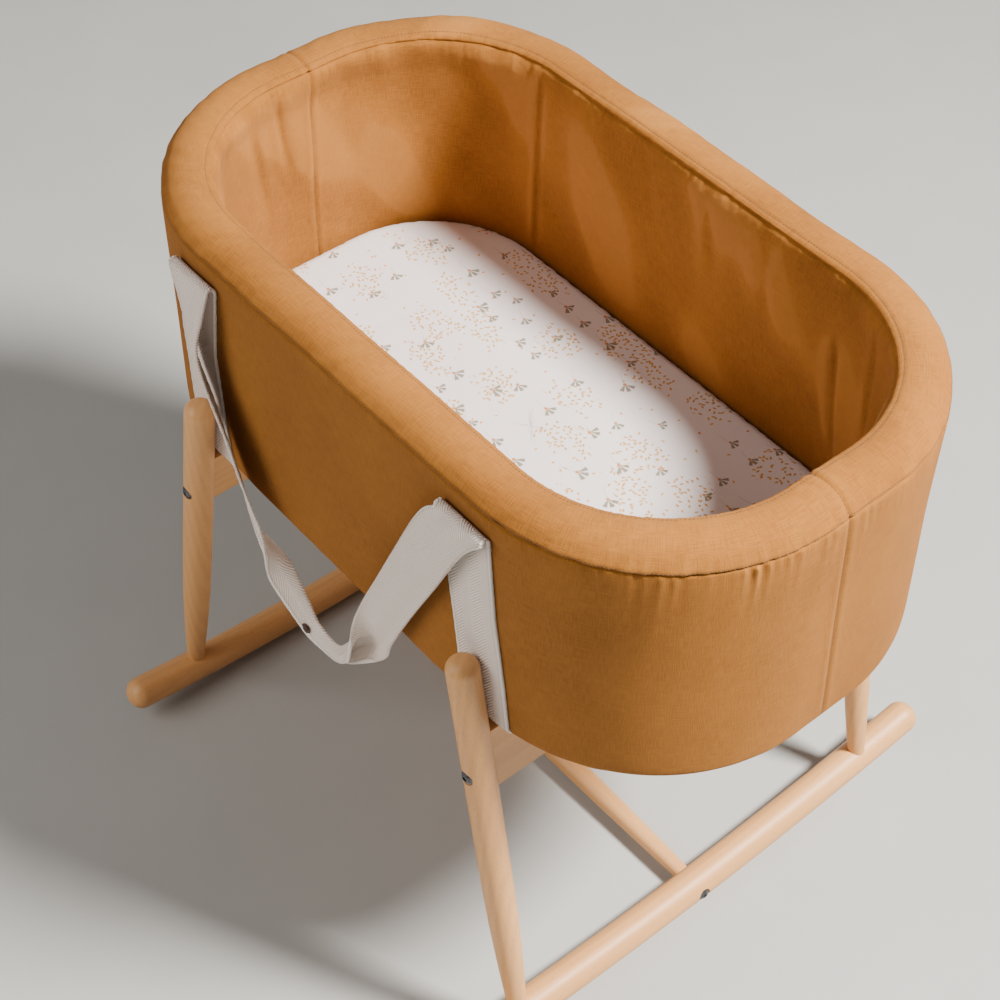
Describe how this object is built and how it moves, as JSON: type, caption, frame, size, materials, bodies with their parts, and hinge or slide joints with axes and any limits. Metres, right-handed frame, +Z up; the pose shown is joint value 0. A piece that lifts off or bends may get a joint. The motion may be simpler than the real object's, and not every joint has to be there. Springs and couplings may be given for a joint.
{
  "type": "bassinet on rocking stand",
  "caption": "Padded fabric baby basket with webbing carrying handles, resting on the crossbars of a wooden stand with splayed legs and curved rockers.",
  "frame": {"origin": "on the floor under the middle of the whole object", "axes": "+X along the basket's length towards its foot end, -Y towards the front side, +Z up"},
  "size_m": [0.822, 0.705, 0.744],
  "materials": {
    "beech": "satin",
    "dark_zinc": "satin",
    "brass": "satin",
    "plywood": "matte",
    "fibreboard": "matte",
    "foam": "matte",
    "ochre_cotton": "matte",
    "printed_cotton": "matte",
    "webbing": "matte",
    "dark_snap": "satin"
  },
  "bodies": {
    "stand": {"rocker_head": "beech", "rocker_foot": "beech", "leg_front_head": "beech", "leg_front_foot": "beech", "leg_back_head": "beech", "leg_back_foot": "beech", "crossbar_head": "beech", "crossbar_foot": "beech", "stretcher": "beech", "crossbar_bolts": "dark_zinc", "crossbar_inserts": "brass", "crossbar_dowels": "beech", "stretcher_bolts": "dark_zinc", "stretcher_inserts": "brass"},
    "basket": {"base_board": "plywood", "wall_board": "fibreboard", "outer_padding": "foam", "inner_padding": "foam", "rim_foam": "foam", "outer_cover_front": "ochre_cotton", "outer_cover_back": "ochre_cotton", "rim_cover_front": "ochre_cotton", "rim_cover_back": "ochre_cotton", "lining_front": "ochre_cotton", "lining_back": "ochre_cotton", "base_cover": "ochre_cotton", "strap_sling_head": "webbing", "strap_sling_foot": "webbing"},
    "mattress": {"mattress_core": "foam", "fitted_sheet": "printed_cotton"},
    "front_handle": {"handle_front": "webbing", "handle_front_snap": "dark_snap"},
    "back_handle": {"handle_back": "webbing", "handle_back_snap": "dark_snap"}
  },
  "joints": [
    {"name": "basket_lift", "type": "slide", "parent": "stand", "child": "basket", "axis": [0, 0, 1], "range_m": [0, 0.35]},
    {"name": "mattress_lift", "type": "slide", "parent": "basket", "child": "mattress", "axis": [0, 0, 1], "range_m": [0, 0.35]},
    {"name": "handle_front_swing", "type": "hinge", "parent": "basket", "child": "front_handle", "pos_m": [0, -0.2466, 0.7], "axis": [-1, 0, 0], "range_deg": [0, 140]},
    {"name": "handle_back_swing", "type": "hinge", "parent": "basket", "child": "back_handle", "pos_m": [0, 0.2466, 0.7], "axis": [1, 0, 0], "range_deg": [0, 140]}
  ]
}
